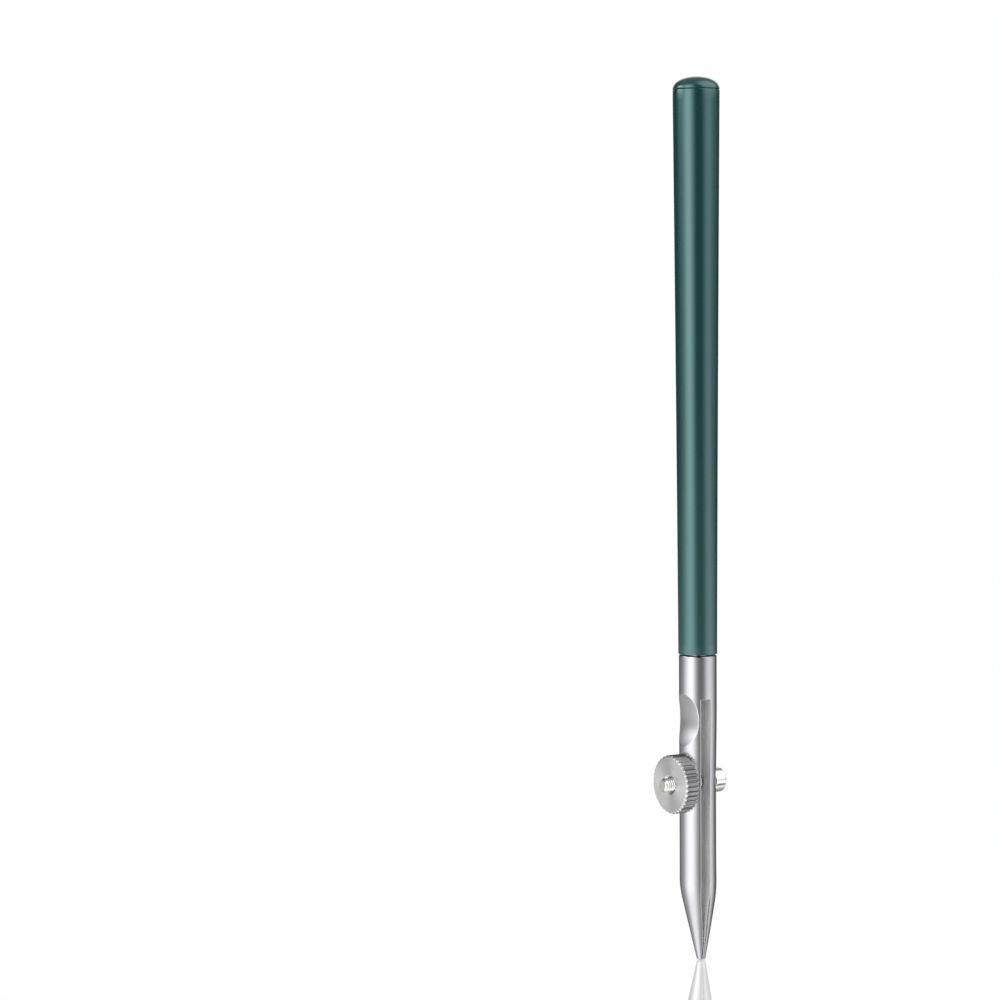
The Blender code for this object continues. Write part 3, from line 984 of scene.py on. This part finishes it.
def build_world():
    """White behind the pen for the camera. What the pen reflects is soft boxes, table and ceiling."""
    world = bpy.data.worlds.new("studio")
    bpy.context.scene.world = world
    world.use_nodes = True
    world.node_tree.nodes.clear()
    place = world_node("ShaderNodeTexCoord")
    turn = world_node("ShaderNodeVectorRotate", rotation_type="Z_AXIS", Angle=-CAMERA_AZIMUTH)
    world_link(place.outputs["Generated"], turn.inputs["Vector"])
    parts = world_node("ShaderNodeSeparateXYZ")
    world_link(turn.outputs["Vector"], parts.inputs["Vector"])
    right, away, up = parts.outputs["X"], parts.outputs["Y"], parts.outputs["Z"]

    angle = world_math("ARCTAN2", right, world_math("MULTIPLY", away, -1.0))
    degrees = world_math("MULTIPLY", angle, math.degrees(1))
    upper = boxes_light(degrees, UPPER_BASE, UPPER_BOXES)
    lower = boxes_light(degrees, LOWER_BASE, LOWER_BOXES)
    light = blended(fade(up, sine(UPPER_ENDS), sine(LOWER_STARTS)), upper, lower)
    table = world_math("MULTIPLY", fade(up, sine(-16), sine(-45)), TABLE_SHARE)
    light = blended(table, light, TABLE_LEVEL)
    light = blended(fade(up, sine(28), sine(55)), light, CEILING_LEVEL)
    direction = turn.outputs["Vector"]
    above_pen = fade(up, sine(5), sine(11))
    for *spot, level in LAMPS:
        light = blended(world_math("MULTIPLY", lamp_share(direction, *spot), above_pen), light, level)
    light = blended(lamp_share(direction, *CARD[:4]), light, CARD[4])
    behind = world_math("MULTIPLY", fade(away, 0.75, 0.9), fade(up, sine(6), sine(8)))
    light = blended(behind, light, BACKDROP_LEVEL)

    lit = world_node("ShaderNodeBackground", Color=(1, 1, 1, 1))
    world_link(light, lit.inputs["Strength"])
    seen = world_node("ShaderNodeBackground", Color=(1, 1, 1, 1), Strength=1.0)
    path = world_node("ShaderNodeLightPath")
    choose = world_node("ShaderNodeMixShader")
    world_link(path.outputs["Is Camera Ray"], choose.inputs["Fac"])
    world_link(lit.outputs["Background"], choose.inputs[1])
    world_link(seen.outputs["Background"], choose.inputs[2])
    out = world_node("ShaderNodeOutputWorld")
    world_link(choose.outputs["Shader"], out.inputs["Surface"])


def build_floor():
    """A white floor with a mirror's gloss, just under the tip."""
    work = bmesh.new()
    bmesh.ops.create_circle(work, cap_ends=True, radius=FLOOR_RADIUS, segments=96)
    mesh = bpy.data.meshes.new("floor")
    work.to_mesh(mesh)
    work.free()
    mesh.transform(Matrix.Scale(MM, 4))
    floor = bpy.data.objects.new("floor", mesh)
    bpy.context.scene.collection.objects.link(floor)
    lowest = cad_box[0].z
    floor.location = (0, 0, lowest - FLOOR_DROP * MM)
    floor.visible_glossy = False
    floor.visible_diffuse = False
    floor.visible_shadow = False
    made = bpy.data.materials.new("floor_gloss")
    made.use_nodes = True
    nodes, links = made.node_tree.nodes, made.node_tree.links
    nodes.clear()
    white = nodes.new("ShaderNodeEmission")
    gloss = nodes.new("ShaderNodeBsdfGlossy")
    gloss.inputs["Roughness"].default_value = FLOOR_ROUGHNESS
    gloss.inputs["Color"].default_value = (1, 1, 1, 1)
    mix = nodes.new("ShaderNodeMixShader")
    mix.inputs["Fac"].default_value = FLOOR_SHINE
    out = nodes.new("ShaderNodeOutputMaterial")
    links.new(white.outputs["Emission"], mix.inputs[1])
    links.new(gloss.outputs["BSDF"], mix.inputs[2])
    links.new(mix.outputs["Shader"], out.inputs["Surface"])
    mesh.materials.append(made)
    return floor


def build_camera():
    """Stands off to the nut's side, above the nib, turned so that the pen is right of the middle."""
    data = bpy.data.cameras.new("camera")
    data.lens = LENS
    data.sensor_width = 36.0
    data.clip_start = 0.01
    data.clip_end = 20.0
    camera = bpy.data.objects.new("camera", data)
    bpy.context.scene.collection.objects.link(camera)
    to_camera = Vector((math.sin(CAMERA_AZIMUTH), -math.cos(CAMERA_AZIMUTH), 0))
    camera.location = (to_camera * CAMERA_DISTANCE + Vector((0, 0, CAMERA_HEIGHT))) * MM
    forward = Matrix.Rotation(CAMERA_TURN, 3, "Z") @ -to_camera
    forward = forward * math.cos(CAMERA_PITCH) + Vector((0, 0, -math.sin(CAMERA_PITCH)))
    look = forward.to_track_quat("-Z", "Y").to_matrix() @ Matrix.Rotation(CAMERA_ROLL, 3, "Z")
    camera.rotation_euler = look.to_euler()
    bpy.context.scene.camera = camera
    return camera


def main():
    paint = handle_paint()
    along_bar = (0.5, 0.5, 9)
    nib_steel = steel("nib_steel", (0.48, 0.48, 0.50), (0.54, 0.54, 0.56), (0.17, 0.23), along_bar, 0.0015)
    scoop_steel = steel("scoop_steel", (0.50, 0.50, 0.52), (0.60, 0.60, 0.62), (0.36, 0.42), along_bar, 0.002)
    slot_steel = steel("slot_steel", (0.72, 0.72, 0.72), (0.98, 0.98, 0.98), (0.42, 0.50), (3, 3, 6), 0.016)
    shader_of(slot_steel).inputs["Metallic"].default_value = 0.6
    # Painted shade: the knurled rim is the same steel as the nut's turned face, coloured far darker to stand
    # in for the shade in its grooves.
    knurl_steel_shaded = steel("knurl_steel_shaded", (0.16, 0.16, 0.17), (0.34, 0.34, 0.35), (0.2, 0.3), (3, 3, 3), 0.01)
    nickel = steel("screw_plate", (0.80, 0.79, 0.75), (0.88, 0.87, 0.83), (0.12, 0.2), (4, 1, 1), 0.002)

    dress(build_barrel(), paint)
    dress(build_cap(), paint)
    dress(build_screw(), nickel)
    dress(build_nut(), turned_nut_face(), knurl_steel_shaded)
    bend_nib(build_nib(nib_steel, slot_steel, scoop_steel))

    build_world()
    build_floor()
    build_camera()
    bpy.context.scene.view_settings.view_transform = "Standard"


main()
